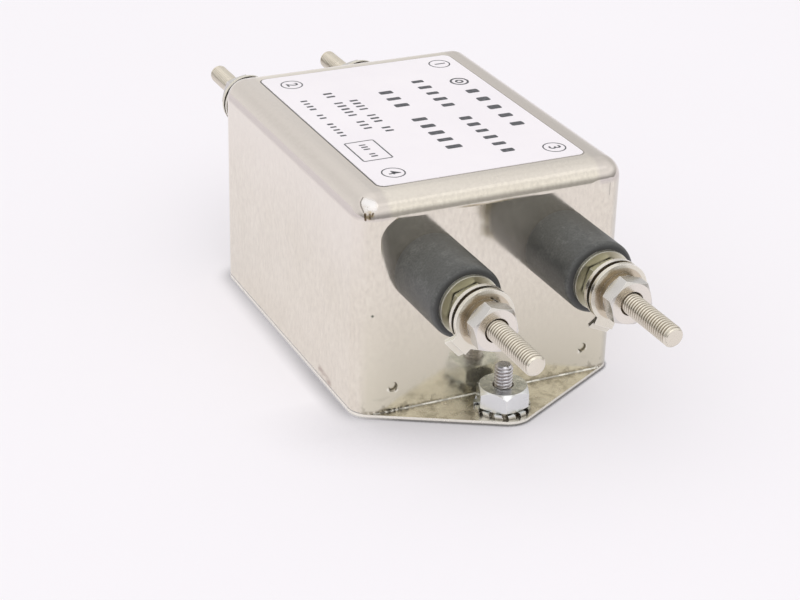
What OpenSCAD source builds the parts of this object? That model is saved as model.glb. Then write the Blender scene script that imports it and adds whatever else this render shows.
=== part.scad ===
// EMI line filter in a drawn steel can with four stud terminals and a ground stud.
// Frame: +Z up, +Y to the supply end, -Y to the end with the ground stud.
// The origin is under the middle of the base plate. All lengths in millimetres.

/* [Case] */
// Width of the can across the terminals
case_w = 55.2; // [52:0.1:66]
// Length of the can along the terminals
case_l = 70.2; // [66:0.1:90]
// Height from the underside of the base plate to the top of the can
case_h = 44.6; // [42:0.1:60]
// Radius of every drawn bend of the can
bend_r = 4.2; // [2.5:0.1:5]
// Sheet thickness of the can
wall = 0.8; // [0.6:0.1:1]
// Distance of the two stakes from the middle of the end wall
stake_x = 20.3; // [12:0.1:21]
// Height of the stakes above the underside
stake_z = 6.2; // [4.5:0.1:8]

/* [Base plate] */
// Thickness of the base plate
plate_t = 0.9; // [0.8:0.1:1.2]
// Distance of the fixing point from the can's end wall
ear_out = 6.2; // [6:0.1:9]
// Distance from the can's end wall to the middle of each ear's round tip
tip_out = 7.4; // [6:0.1:9]
// Radius of the rounded tip of each ear
ear_r = 5.2; // [5:0.1:7]
// Distance from the end wall to the point where the ear leaves the plate's long side
ear_back = 3.8; // [3:0.1:6]
// Diameter of the fixing hole in the plain ear
fix_hole_d = 4.5; // [4.2:0.1:5]
// Height of the upturned lips that locate the can
lip_h = 9; // [8:0.1:10]

/* [Terminals] */
// Distance between the two studs of one end
stud_pitch = 27; // [24:0.1:30]
// Height of the stud axes above the underside
stud_z = 29.4; // [27:0.1:33]
// Outer thread diameter of the terminal studs
stud_d = 4.0; // [4:0.5:5]
// Reach of each stud beyond the end wall
stud_out = 40.8; // [34:0.1:44]
// Reach of each stud inside the end wall
stud_in = 8; // [7.6:0.1:9]
// Diameter of the insulating bushings
bushing_d = 14.1; // [13:0.1:16]
// Length of the insulating bushings outside the wall
bushing_len = 15.8; // [12:0.1:18]
// Rounding of the bushings' outer rim
bushing_rim = 1.2; // [0.6:0.1:2]

/* [Hardware] */
// Outer diameter of the large washers
washer_d = 11.6; // [10:0.1:12]
// Thickness of the large washers
washer_t = 0.8; // [0.6:0.1:1]
// Width across flats of the hexagon nuts
nut_af = 8; // [7:0.5:8]
// Thickness of the hexagon nuts
nut_t = 3.2; // [2.8:0.1:3.6]
// Outer diameter of the split spring washers
spring_d = 8.2; // [7:0.1:9]
// Thickness of the inner split washers
spring_t1 = 0.9; // [0.8:0.1:1.2]
// Thickness of the outer split washers
spring_t2 = 1.2; // [0.8:0.1:1.4]
// Width of the bent tab on each tab washer
tab_w = 4.2; // [3:0.1:5]
// Length of the bent part of the tab
tab_len = 2.1; // [1.5:0.1:3]
// Bend of the tab back towards the can, in degrees
tab_bend = 30; // [0:1:45]
// Outer thread diameter of the ground stud
ground_d = 3.5; // [3:0.5:5]
// Height of the ground stud above the underside
ground_h = 9.9; // [8:0.1:14]
// Offset of the ground stud from the middle of the ear
ground_x = -0.3; // [-0.5:0.1:0.5]
// Width across flats of the ground nut
ground_af = 9.2; // [7:0.1:10]
// Thickness of the ground nut
ground_nut_t = 3.9; // [3:0.1:4.5]
// Outer diameter of the toothed washer under the ground nut
tooth_d = 10.8; // [9:0.1:11]

/* [Label] */
// Width of the label
label_w = 42.8; // [38:0.1:45]
// Length of the label
label_l = 59.2; // [50:0.1:60]
// Thickness of the label
label_t = 0.12; // [0.1:0.01:0.2]
// Corner radius of the label
label_r = 1.5; // [1:0.1:4]

/* [Inside] */
// Thickness of the insulating sheet on the base plate
liner_t = 0.4; // [0.3:0.1:0.8]
// Height of the posts under the circuit board
post_h = 3; // [2.5:0.1:4]
// Thickness of the circuit board
board_t = 1.6; // [1:0.1:2]
// Outer radius of the choke's ring core
core_ro = 16.5; // [15:0.1:17]
// Inner radius of the choke's ring core
core_ri = 9.5; // [9:0.1:10]
// Height of the choke's ring core
core_h = 12; // [10:0.1:13]
// Build-up of each choke winding around the core
wind_t = 2; // [1.5:0.1:2.2]
// Arc that each choke winding covers, in degrees
wind_arc = 140; // [120:1:150]

/* [Hidden] */

fn_big = 96;
fn_mid = 64;
fn_small = 32;
// clearance between two parts where one is inside the other
slip = 0.05;
// overlap used where two solids of one part are joined
bite = 0.5;
stud_r = stud_d / 2;
hole_r = stud_r + slip;
// a thread is drawn at its outer radius where it is free and at its mean radius inside its nuts
thread_depth = 0.2;
core_r = stud_r - thread_depth;
nut_bore_r = core_r + slip;
// free thread that shows between a nut's face and the full outer radius
runout = 0.2;
point = 0.5;
// height of the chamfer on the corners of the small nuts
nut_bevel = 0.4;
bushing_r = bushing_d / 2;
neck_r = 4.4;
end_y = case_l / 2;
in_w = case_w - 2 * wall;
in_l = case_l - 2 * wall;
// distance from a hexagon's middle to its corners
function hex_r(af) = af / 2 / cos(30);
// distances along a stud, counted outwards from the end wall
at_washer = bushing_len;
at_jam = at_washer + washer_t;
at_plain = at_jam + nut_t;
at_spring1 = at_plain + washer_t;
at_tab = at_spring1 + spring_t1;
at_spring2 = at_tab + washer_t;
at_nut = at_spring2 + spring_t2;
// distances along a stud, counted inwards from the end wall's inner face
ins_t = 2;
lug_t = 0.8;
lug_r = 4;
inner_nut_t = 2.4;
inner_nut_af = 7;
inner_washer_r = 4.5;
inner_washer_t = 0.6;
in_washer = ins_t;
in_lug = in_washer + inner_washer_t;
in_nut = in_lug + lug_t;
// side and end of each terminal, in the order of their numbers
TERMS = [[1, 1], [-1, 1], [1, -1], [-1, -1]];
// turn of each terminal's nuts and of its tab, in degrees
jam_turn = [18, 15, 15, 18];
nut_turn = [46, 46, 46, 45];
tab_turn = [222, 245, 245, 222];
split_turn = [70, 20, 20, 70];
ear_y = end_y + ear_out;
tip_y = end_y + tip_out;
ground_r = ground_d / 2;
ground_core_r = ground_r - thread_depth;
ground_head_r = ground_r + 1.2;
ground_turn = 11;
// corner chamfer of the ground nut, down its sides
ground_bevel = 1;
lip_t = 1;
stake_r = 1.1;
stake_depth = 0.5;
// metal of the lip beside each stake's hole
lip_margin = 1.6;
lip_w = 2 * (stake_x + stake_r + lip_margin);
// bare rim between the board and the can's sides, and between the board and the lips
side_gap = 3.1;
end_gap = 0.75;
board_w = in_w - 2 * side_gap;
board_l = in_l - 2 * (slip + lip_t + end_gap);
board_z = plate_t + liner_t + post_h;
top_z = board_z + board_t;
// places on the board, measured in from its edges
post_x = board_w / 2 - 3.5;
post_y = board_l / 2 - 13.5;
post_r = 2.4;
peg_r = 1.2;
pin_r = 0.4;
core_z = top_z + wind_t;
cap_w = 21;
cap_t = 8;
cap_h = 14;
cap_y = board_l / 2 - 2 - cap_t / 2;
pin_x = 7.5;
ycap_x = board_w / 2 - 3.5;
ycap_y = board_l / 2 - 6.5;
ycap_r = 4.5;
ycap_t = 3.4;
ycap_pin = 2.5;
res_x = board_w / 2 - 3.5;
res_y = board_l / 2 - 6;
res_r = 1.6;
res_l = 7;
res_lead = 1;
lug_drop = 9;
lug_w = 3.6;
wire_r = 0.9;
wire_flat = 0.5;
// height of the wire's top above the lug's lower end, and length of its flat side
wire_rise = 4.2;
flat_l = 4.4;
// middle plane of the lugs' outer faces and of the wires soldered to them
lug_y = in_l / 2 - in_nut;
wire_y = lug_y - wire_flat;

steel = [0.80, 0.78, 0.74];
nickel = [0.82, 0.79, 0.71];
zinc = [0.84, 0.85, 0.86];
phenolic = [0.16, 0.16, 0.17];

// box with every upright and top edge rounded, flat underneath
module drawn_box(w, l, h, r) {
    for (s = [[w, l - 2 * r], [w - 2 * r, l]])
        translate([-s[0] / 2, -s[1] / 2, 0]) cube([s[0], s[1], h - r]);
    translate([-w / 2 + r, -l / 2 + r, 0]) cube([w - 2 * r, l - 2 * r, h]);
    for (x = [-1, 1], y = [-1, 1])
        translate([x * (w / 2 - r), y * (l / 2 - r), 0]) {
            cylinder(r = r, h = h - r, $fn = fn_mid);
            translate([0, 0, h - r]) sphere(r = r, $fn = fn_mid);
        }
    for (x = [-1, 1])
        translate([x * (w / 2 - r), l / 2 - r, h - r])
            rotate([90, 0, 0]) cylinder(r = r, h = l - 2 * r, $fn = fn_mid);
    for (y = [-1, 1])
        translate([-w / 2 + r, y * (l / 2 - r), h - r])
            rotate([0, 90, 0]) cylinder(r = r, h = w - 2 * r, $fn = fn_mid);
}

// flat outline with four round corners
module round_rect(w, l, r) {
    square([w - 2 * r, l], center = true);
    square([w, l - 2 * r], center = true);
    for (x = [-1, 1], y = [-1, 1])
        translate([x * (w / 2 - r), y * (l / 2 - r)]) circle(r = r, $fn = fn_mid);
}

// moves its children to terminal n: local +Z points out of the wall along the stud
module at_terminal(n) {
    translate([TERMS[n][0] * stud_pitch / 2, TERMS[n][1] * end_y, stud_z])
        rotate([90, 0, TERMS[n][1] > 0 ? 180 : 0]) children();
}

// moves its children to terminal n: local +Z points inwards from the wall's inner face
module inside_terminal(n) {
    at_terminal(n) translate([0, 0, -wall]) mirror([0, 0, 1]) children();
}

// puts one of its children on every terminal, at height z along the stud
module on_all(z, turns = [0, 0, 0, 0]) {
    for (n = [0:3]) at_terminal(n) translate([0, 0, z]) rotate([0, 0, turns[n]]) children();
}

module in_all(z, turns = [0, 0, 0, 0]) {
    for (n = [0:3]) inside_terminal(n) translate([0, 0, z]) rotate([0, 0, turns[n]]) children();
}

module ring(ro, ri, h) {
    difference() {
        cylinder(r = ro, h = h, $fn = fn_mid);
        translate([0, 0, -bite]) cylinder(r = ri, h = h + 2 * bite, $fn = fn_small);
    }
}

// hexagon nut with chamfered corners, a plain hole and a countersink c at both ends;
// the corners are cut down to height "low" at the seat and to depth "high" at the free end
module hex_nut(af, h, ri, low, high) {
    rc = hex_r(af);
    c = 0.5;
    intersection() {
        cylinder(r = rc, h = h, $fn = 6);
        rotate_extrude($fn = fn_mid)
            polygon([[0, 0], [af / 2 - 0.1, 0], [rc + 0.05, low], [rc + 0.05, h - high],
                [af / 2 - 0.1, h], [0, h]]);
        difference() {
            cylinder(r = rc + 1, h = h, $fn = fn_small);
            translate([0, 0, -bite]) cylinder(r = ri, h = h + 2 * bite, $fn = fn_small);
            for (z = [0, h]) translate([0, 0, z])
                rotate_extrude($fn = fn_small)
                    polygon([[0, -c], [ri, -c], [ri + c, 0], [ri, c], [0, c]]);
        }
    }
}
// hexagon nut with the same small chamfer at both ends
module plain_nut(af, h, ri) { hex_nut(af, h, ri, nut_bevel, nut_bevel); }

// split spring washer with a slanted cut
module split_ring(h) {
    cut_w = 0.7;
    difference() {
        ring(spring_d / 2, hole_r, h);
        translate([(spring_d / 2 + core_r) / 2, 0, h / 2]) rotate([25, 0, 0])
            cube([spring_d / 2, cut_w, h * 3], center = true);
    }
}

// washer with one tab that leaves the rim and is bent back towards the can
module tab_washer() {
    // the fold starts just outside the rim, and the tab's root reaches back into the ring
    lead = 0.25 * washer_t;
    fold_r = washer_d / 2 + lead;
    root = tab_w / 2;
    ring(washer_d / 2, hole_r, washer_t);
    translate([fold_r - root, -tab_w / 2, 0]) cube([root, tab_w, washer_t]);
    translate([fold_r, 0, washer_t]) {
        rotate([90, 0, 0]) translate([0, 0, -tab_w / 2])
            intersection() {
                cylinder(r = washer_t, h = tab_w, $fn = fn_small);
                translate([-lead, -washer_t - lead, 0])
                    cube([washer_t * 2, washer_t + lead, tab_w]);
            }
        rotate([0, tab_bend, 0]) translate([0, -tab_w / 2, -washer_t])
            cube([tab_len, tab_w, washer_t]);
    }
}

// outline of a stud whose free end, past height "free", has the full thread radius r
module stud_profile(r, total, free) {
    polygon([[0, 0], [r - thread_depth, 0], [r - thread_depth, free], [r, free],
        [r, total - point], [r - point, total], [0, total]]);
}

module stud(n) {
    root_z = wall + stud_in;
    at_terminal(n) translate([0, 0, -root_z])
        rotate_extrude($fn = fn_mid)
            stud_profile(stud_r, root_z + stud_out, root_z + at_nut + nut_t + runout);
}

// turned insulator: body outside, neck through the wall
module bushing(n) {
    at_terminal(n) difference() {
        union() {
            rotate_extrude($fn = fn_big) {
                square([bushing_r - bushing_rim, bushing_len]);
                square([bushing_r, bushing_len - bushing_rim]);
                translate([bushing_r - bushing_rim, bushing_len - bushing_rim])
                    circle(r = bushing_rim, $fn = fn_mid);
            }
            translate([0, 0, -wall]) cylinder(r = neck_r, h = wall + bite, $fn = fn_mid);
        }
        translate([0, 0, -wall - bite])
            cylinder(r = hole_r, h = bushing_len + wall + 2 * bite, $fn = fn_small);
    }
}

// a wire from its lug down through the board, flattened where it is soldered to the lug
module wire(n) {
    sx = TERMS[n][0];
    sy = TERMS[n][1];
    z0 = board_z - 1;
    z1 = stud_z - lug_drop + wire_rise;
    translate([sx * stud_pitch / 2, sy * wire_y, 0])
        difference() {
            translate([0, 0, z0]) cylinder(r = wire_r, h = z1 - z0, $fn = fn_small);
            translate([0, sy * (wire_flat + wire_r), z1])
                cube([4 * wire_r, 2 * wire_r, 2 * flat_l], center = true);
        }
}

// one winding: a sleeve around the ring core over part of its turn
module winding(mid) {
    rotate([0, 0, mid - wind_arc / 2]) rotate_extrude(angle = wind_arc, $fn = fn_big)
        difference() {
            translate([core_ri - wind_t, core_z - wind_t])
                square([core_ro - core_ri + 2 * wind_t, core_h + 2 * wind_t]);
            translate([core_ri - slip, core_z - slip])
                square([core_ro - core_ri + 2 * slip, core_h + 2 * slip]);
        }
}

// box capacitor with two pins through the board
module box_capacitor(sy) {
    translate([-cap_w / 2, sy * cap_y - cap_t / 2, top_z]) cube([cap_w, cap_t, cap_h]);
    for (x = [-1, 1]) translate([x * pin_x, sy * cap_y, board_z - 1.2])
        cylinder(r = pin_r, h = board_t + 1.2 + bite, $fn = fn_small);
}

module case() {
    color(steel) translate([0, 0, plate_t]) {
        difference() {
            drawn_box(case_w, case_l, case_h - plate_t, bend_r);
            translate([0, 0, -bite])
                drawn_box(in_w, in_l, case_h - plate_t - wall + bite, bend_r - wall);
            for (n = [0:3]) translate([0, 0, -plate_t]) at_terminal(n)
                translate([0, 0, -2 * wall]) cylinder(r = neck_r + slip, h = 3 * wall, $fn = fn_mid);
            for (x = [-1, 1], y = [-1, 1])
                translate([x * stake_x, y * (end_y + bite - stake_depth), stake_z - plate_t])
                    rotate([90, 0, 0]) cylinder(r = stake_r - 0.2, h = 2 * bite, center = true, $fn = fn_small);
        }
        for (x = [-1, 1], y = [-1, 1])
            translate([x * stake_x, y * (end_y - wall + 0.05 - (stake_depth + 0.1) / 2), stake_z - plate_t])
                rotate([90, 0, 0])
                    cylinder(r = stake_r, h = stake_depth + 0.1, center = true, $fn = fn_small);
    }
}

module base_plate() {
    // direction of the ear's straight side, from the plate's corner to the tip's tangent point
    cx = case_w / 2;
    cy = ear_back + tip_out;
    d = sqrt(cx * cx + cy * cy);
    a = atan2(cy, cx) + asin(ear_r / d);
    tx = ear_r * sin(a);
    ty = ear_r * cos(a);
    color(steel) difference() {
        union() {
            linear_extrude(height = plate_t) {
                round_rect(case_w, case_l, bend_r);
                polygon([[cx, end_y - ear_back], [tx, tip_y + ty], [-tx, tip_y + ty],
                    [-cx, end_y - ear_back], [-cx, -end_y + ear_back], [-tx, -tip_y - ty],
                    [tx, -tip_y - ty], [cx, -end_y + ear_back]]);
                for (y = [-1, 1]) translate([0, y * tip_y]) circle(r = ear_r, $fn = fn_big);
            }
            for (y = [-1, 1]) translate([-lip_w / 2, y > 0 ? in_l / 2 - slip - lip_t : -in_l / 2 + slip, 0])
                cube([lip_w, lip_t, plate_t + lip_h]);
        }
        // holes in the lips that take the stakes
        for (x = [-1, 1], y = [-1, 1])
            translate([x * stake_x, y * in_l / 2, stake_z]) rotate([90, 0, 0])
                cylinder(r = stake_r + slip, h = 4 * lip_t, center = true, $fn = fn_small);
        translate([0, ear_y, -bite]) cylinder(d = fix_hole_d, h = plate_t + 2 * bite, $fn = fn_mid);
        // stepped seat of the pressed-in ground stud
        translate([ground_x, -ear_y, -bite]) {
            cylinder(r = ground_core_r, h = plate_t + 2 * bite, $fn = fn_mid);
            cylinder(r = ground_head_r, h = bite + plate_t / 2, $fn = fn_mid);
        }
    }
}

module label() {
    color([0.95, 0.93, 0.94]) translate([0, 0, case_h])
        linear_extrude(height = label_t) round_rect(label_w, label_l, label_r);
}

module bushing_1() { color(phenolic) bushing(0); }
module bushing_2() { color(phenolic) bushing(1); }
module bushing_3() { color(phenolic) bushing(2); }
module bushing_4() { color(phenolic) bushing(3); }
module stud_1() { color(nickel) stud(0); }
module stud_2() { color(nickel) stud(1); }
module stud_3() { color(nickel) stud(2); }
module stud_4() { color(nickel) stud(3); }

module bushing_washers() {
    color(nickel) on_all(at_washer) ring(washer_d / 2, hole_r, washer_t);
}
module jam_nuts() { color(nickel) on_all(at_jam, jam_turn) plain_nut(nut_af, nut_t, nut_bore_r); }
module plain_washers() {
    color(nickel) on_all(at_plain) ring(washer_d / 2, hole_r, washer_t);
}
module inner_spring_washers() { color(nickel) on_all(at_spring1, split_turn) split_ring(spring_t1); }
module tab_washers() { color(nickel) on_all(at_tab, tab_turn) tab_washer(); }
module outer_spring_washers() { color(nickel) on_all(at_spring2, split_turn) split_ring(spring_t2); }
module terminal_nuts() { color(nickel) on_all(at_nut, nut_turn) plain_nut(nut_af, nut_t, nut_bore_r); }

module insulating_washers() {
    color([0.55, 0.35, 0.2]) in_all(0) ring(bushing_r - 1, hole_r, ins_t);
}
module inner_washers() { color(nickel) in_all(in_washer) ring(inner_washer_r, hole_r, inner_washer_t); }
module solder_lugs() {
    color([0.8, 0.7, 0.45]) in_all(in_lug) {
        ring(lug_r, hole_r, lug_t);
        translate([-lug_w / 2, -lug_drop, 0]) cube([lug_w, lug_drop - lug_r + 2 * bite, lug_t]);
    }
}
module inner_nuts() { color(nickel) in_all(in_nut) plain_nut(inner_nut_af, inner_nut_t, nut_bore_r); }

module ground_stud() {
    color(zinc) translate([ground_x, -ear_y, 0]) {
        cylinder(r = ground_head_r, h = plate_t / 2, $fn = fn_mid);
        rotate_extrude($fn = fn_mid)
            stud_profile(ground_r, ground_h, plate_t + washer_t + ground_nut_t + runout);
    }
}

// toothed washer: a ring whose rim is cut into slanted teeth
module ground_lock_washer() {
    teeth = 13;
    gap_w = 1.1;
    gap_l = 2.6;
    color(zinc) translate([ground_x, -ear_y, plate_t]) difference() {
        ring(tooth_d / 2, ground_r + slip, washer_t);
        for (i = [0:teeth - 1]) rotate([0, 0, i * 360 / teeth])
            translate([tooth_d / 2, 0, washer_t / 2]) rotate([20, 0, 0])
                cube([gap_l, gap_w, washer_t * 4], center = true);
    }
}

module ground_nut() {
    color(zinc) translate([ground_x, -ear_y, plate_t + washer_t]) rotate([0, 0, ground_turn])
        hex_nut(ground_af, ground_nut_t, ground_core_r + slip, nut_bevel, ground_bevel);
}

module liner() {
    color([0.72, 0.68, 0.55]) translate([-in_w / 2 + 2, -in_l / 2 + lip_t + 1, plate_t])
        cube([in_w - 4, in_l - 2 * lip_t - 2, liner_t]);
}

module board_posts() {
    color([0.9, 0.9, 0.85]) for (x = [-1, 1], y = [-1, 1])
        translate([x * post_x, y * post_y, plate_t + liner_t]) {
            cylinder(r = post_r, h = post_h, $fn = fn_small);
            cylinder(r = peg_r, h = post_h + board_t + 1, $fn = fn_small);
        }
}

module circuit_board() {
    color([0.55, 0.45, 0.25]) difference() {
        translate([-board_w / 2, -board_l / 2, board_z]) cube([board_w, board_l, board_t]);
        for (x = [-1, 1], y = [-1, 1]) {
            translate([x * post_x, y * post_y, board_z - bite])
                cylinder(r = peg_r + slip, h = board_t + 2 * bite, $fn = fn_small);
            translate([x * pin_x, y * cap_y, board_z - bite])
                cylinder(r = pin_r + slip, h = board_t + 2 * bite, $fn = fn_small);
            translate([x * stud_pitch / 2, y * wire_y, board_z - bite])
                cylinder(r = wire_r + slip, h = board_t + 2 * bite, $fn = fn_small);
        }
        for (x = [-1, 1], y = [-ycap_pin, ycap_pin]) translate([x * ycap_x, -ycap_y + y, board_z - bite])
            cylinder(r = pin_r + slip, h = board_t + 2 * bite, $fn = fn_small);
        for (y = [-1, 1]) translate([res_x, res_y + y * (res_l / 2 + res_lead), board_z - bite])
            cylinder(r = pin_r + slip, h = board_t + 2 * bite, $fn = fn_small);
    }
}

module choke_core() {
    color([0.25, 0.35, 0.28]) rotate_extrude($fn = fn_big)
        translate([core_ri, core_z]) square([core_ro - core_ri, core_h]);
}
module choke_winding_a() { color([0.72, 0.40, 0.20]) winding(0); }
module choke_winding_b() { color([0.72, 0.40, 0.20]) winding(180); }

// upright insulating wall between the two windings, notched over the core
module choke_divider() {
    t = 1.6;
    color([0.85, 0.85, 0.8]) difference() {
        translate([-t / 2, -core_ro - wind_t, top_z]) cube([t, 2 * (core_ro + wind_t), core_h + 2 * wind_t + 1]);
        rotate_extrude($fn = fn_big) translate([core_ri - slip, core_z - slip])
            square([core_ro - core_ri + 2 * slip, core_h + 2 * slip]);
    }
}

module line_capacitor() { color([0.85, 0.75, 0.25]) box_capacitor(1); }
module load_capacitor() { color([0.85, 0.75, 0.25]) box_capacitor(-1); }

module ground_capacitors() {
    color([0.25, 0.45, 0.75]) for (x = [-1, 1]) translate([x * ycap_x, -ycap_y, top_z]) {
        translate([-ycap_t / 2, 0, ycap_r]) rotate([0, 90, 0]) cylinder(r = ycap_r, h = ycap_t, $fn = fn_mid);
        for (y = [-ycap_pin, ycap_pin]) translate([0, y, -board_t - 1])
            cylinder(r = pin_r, h = board_t + 1 + ycap_r, $fn = fn_small);
    }
}

module bleed_resistor() {
    color([0.75, 0.65, 0.5]) translate([res_x, res_y, top_z]) {
        translate([0, -res_l / 2, res_r]) rotate([-90, 0, 0]) cylinder(r = res_r, h = res_l, $fn = fn_small);
        for (y = [-1, 1]) {
            translate([0, y * (res_l / 2 + res_lead), -board_t - 1]) {
                cylinder(r = pin_r, h = board_t + 1 + res_r, $fn = fn_small);
                translate([0, 0, board_t + 1 + res_r]) sphere(r = pin_r, $fn = fn_small);
            }
            translate([0, y * (res_l / 2 + res_lead), res_r]) rotate([90 * y, 0, 0])
                cylinder(r = pin_r, h = res_lead + bite, $fn = fn_small);
        }
    }
}

module wire_1() { color([0.7, 0.1, 0.1]) wire(0); }
module wire_2() { color([0.15, 0.15, 0.6]) wire(1); }
module wire_3() { color([0.7, 0.1, 0.1]) wire(2); }
module wire_4() { color([0.15, 0.15, 0.6]) wire(3); }

case();
base_plate();
label();
bushing_1();
bushing_2();
bushing_3();
bushing_4();
stud_1();
stud_2();
stud_3();
stud_4();
bushing_washers();
jam_nuts();
plain_washers();
inner_spring_washers();
tab_washers();
outer_spring_washers();
terminal_nuts();
insulating_washers();
inner_washers();
solder_lugs();
inner_nuts();
ground_stud();
ground_lock_washer();
ground_nut();
liner();
board_posts();
circuit_board();
choke_core();
choke_winding_a();
choke_winding_b();
choke_divider();
line_capacitor();
load_capacitor();
ground_capacitors();
bleed_resistor();
wire_1();
wire_2();
wire_3();
wire_4();
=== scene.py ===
import math
import random

import bpy
from mathutils import Matrix, Vector


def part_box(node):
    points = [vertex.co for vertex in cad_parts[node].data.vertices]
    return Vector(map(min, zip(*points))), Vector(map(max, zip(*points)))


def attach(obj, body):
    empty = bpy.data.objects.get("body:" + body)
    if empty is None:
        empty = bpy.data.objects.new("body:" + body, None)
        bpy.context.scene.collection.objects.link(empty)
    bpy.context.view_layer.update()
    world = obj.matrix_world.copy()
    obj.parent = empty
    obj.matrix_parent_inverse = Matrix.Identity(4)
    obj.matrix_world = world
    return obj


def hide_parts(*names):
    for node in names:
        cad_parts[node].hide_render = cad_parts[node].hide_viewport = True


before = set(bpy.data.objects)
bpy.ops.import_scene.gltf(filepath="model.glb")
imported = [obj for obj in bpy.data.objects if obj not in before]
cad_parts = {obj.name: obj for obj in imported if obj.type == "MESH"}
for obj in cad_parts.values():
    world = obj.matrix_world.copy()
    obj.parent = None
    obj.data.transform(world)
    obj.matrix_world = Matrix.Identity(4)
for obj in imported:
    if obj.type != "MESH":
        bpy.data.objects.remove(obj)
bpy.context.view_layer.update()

MM = 0.001
X, Y, Z = 0, 1, 2


def corners(node):
    """Low and high corner of a node's box, in mm."""
    return [Vector(v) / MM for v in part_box(node)]


# ---------------------------------------------------------------- sizes, in mm

CAN = corners("case")[1]            # half width, half length and top of the can
PLATE_THICK = 0.9
PLATE_CORNER = 4.2                  # radius of the plate's corners
EAR_TIP = 5.2                       # radius of the ears' round ends
EAR_ROOT = 3.8                      # how far inside the can's ends the ears' sides start
LIP_HEIGHT = 0.25                   # bead at the foot of both end walls
LIP_SHORT = 3.3                     # how far the bead stops short of the can's sides
LIP_SINK = 0.02                     # how far it reaches into the wall
ROLL_SIDE, ROLL_TOP = 19.4, 36      # the end walls start to lean outward here
LABEL_CORNER = 1.5
SHEET_THICK = 0.08
INK_LOW, INK_HIGH = 0.082, 0.10     # above the label's underside
THREAD_PITCH, THREAD_DEPTH, THREAD_CHAMFER = 0.7, 0.42, 0.5
GROOVE_HALF, GROOVE_STEEP = 0.40, 1.15     # half width in turns, and how much sooner the bottom is reached
BASE_STEP = 0.02                    # a second ring just above a rod's base keeps the base's edge crisp
STUD_RADIUS, STUD_THREAD_FROM = 2.0, 24.4
GROUND_RADIUS, GROUND_THREAD_FROM = 1.75, 1.2
GROUND_HEAD = (2.95, 0.45)          # radius and height
HEAD_SIDES, CORNER_STEPS = 64, 8
FLOOR_SIDE, FLOOR_FRONT = 3000, -240


# ---------------------------------------------------------------- camera

CAMERA_TURN = (-25.72, 26.60, 1.54)          # azimuth, elevation and roll, in degrees
CAMERA_PLACE = (-158.78, -324.61, 184.95)    # mm
SENSOR, LENS = 36, 88.398                    # mm


def add_camera():
    azimuth, elevation, roll = (math.radians(a) for a in CAMERA_TURN)
    level = Vector((math.sin(azimuth), -math.cos(azimuth), 0)) * math.cos(elevation)
    back = level + Vector((0, 0, math.sin(elevation)))
    right = Vector((0, 0, 1)).cross(back).normalized()
    up = back.cross(right)
    rolled_right = math.cos(roll) * right + math.sin(roll) * up
    rolled_up = math.cos(roll) * up - math.sin(roll) * right
    place = Matrix((rolled_right, rolled_up, back)).transposed().to_4x4()
    place.translation = Vector(CAMERA_PLACE) * MM
    data = bpy.data.cameras.new("view")
    data.sensor_width = SENSOR
    data.lens = LENS
    data.clip_start = 0.01
    data.clip_end = 20
    camera = bpy.data.objects.new("view", data)
    bpy.context.collection.objects.link(camera)
    camera.matrix_world = place
    bpy.context.scene.camera = camera


# ---------------------------------------------------------------- node helpers

class Tree:
    """A node tree being built: short calls that add a node and return its output."""

    def __init__(self, tree):
        self.tree = tree

    def add(self, kind, **props):
        n = self.tree.nodes.new(kind)
        for k, v in props.items():
            setattr(n, k, v)
        return n

    def put(self, socket, value):
        if isinstance(value, bpy.types.NodeSocket):
            self.tree.links.new(value, socket)
        elif value is not None:
            socket.default_value = value

    def math(self, op, a, b=None, clamp=False):
        n = self.add("ShaderNodeMath", operation=op, use_clamp=clamp)
        self.put(n.inputs[0], a)
        self.put(n.inputs[1], b)
        return n.outputs[0]

    def chain(self, op, values):
        """The same operation from the first value to the last."""
        result = values[0]
        for v in values[1:]:
            result = self.math(op, result, v)
        return result

    def times(self, *values):
        return self.chain("MULTIPLY", values)

    def plus(self, *values):
        return self.chain("ADD", values)

    def most(self, *values):
        return self.chain("MAXIMUM", values)

    def size(self, v):
        return self.math("ABSOLUTE", v)

    def invert(self, v):
        return self.math("SUBTRACT", 1.0, v)

    def hypot(self, a, b):
        return self.math("SQRT", self.plus(self.times(a, a), self.times(b, b)))

    def vec(self, op, a, b=None):
        n = self.add("ShaderNodeVectorMath", operation=op)
        self.put(n.inputs[0], a)
        self.put(n.inputs[1], b)
        return n.outputs["Value"] if op in ("DISTANCE", "DOT_PRODUCT") else n.outputs[0]

    def scaled(self, vector, factor):
        n = self.add("ShaderNodeVectorMath", operation="SCALE")
        self.put(n.inputs[0], vector)
        self.put(n.inputs["Scale"], factor)
        return n.outputs[0]

    def part(self, vector, i):
        n = self.add("ShaderNodeSeparateXYZ")
        self.put(n.inputs[0], vector)
        return n.outputs[i]

    def remap(self, v, lo, hi, to_lo=0.0, to_hi=1.0):
        n = self.add("ShaderNodeMapRange", clamp=True)
        self.put(n.inputs["Value"], v)
        for k, x in (("From Min", lo), ("From Max", hi), ("To Min", to_lo), ("To Max", to_hi)):
            n.inputs[k].default_value = x
        return n.outputs["Result"]

    def span(self, v, a, b, at_a=0.0, at_b=1.0):
        """remap of a length, from a to b in mm."""
        return self.remap(v, a * MM, b * MM, at_a, at_b)

    def smooth(self, v, a, b):
        """0 to 1 between a and b in mm, with soft ends."""
        t = self.span(v, a, b)
        return self.times(t, t, self.math("SUBTRACT", 3.0, self.times(t, 2.0)))

    def mix(self, mask, a, b):
        n = self.add("ShaderNodeMix", data_type="RGBA")
        self.put(n.inputs["Factor"], mask)
        for socket, v in ((n.inputs[6], a), (n.inputs[7], b)):
            self.put(socket, (*v, 1.0) if isinstance(v, tuple) else v)
        return n.outputs[2]


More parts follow.
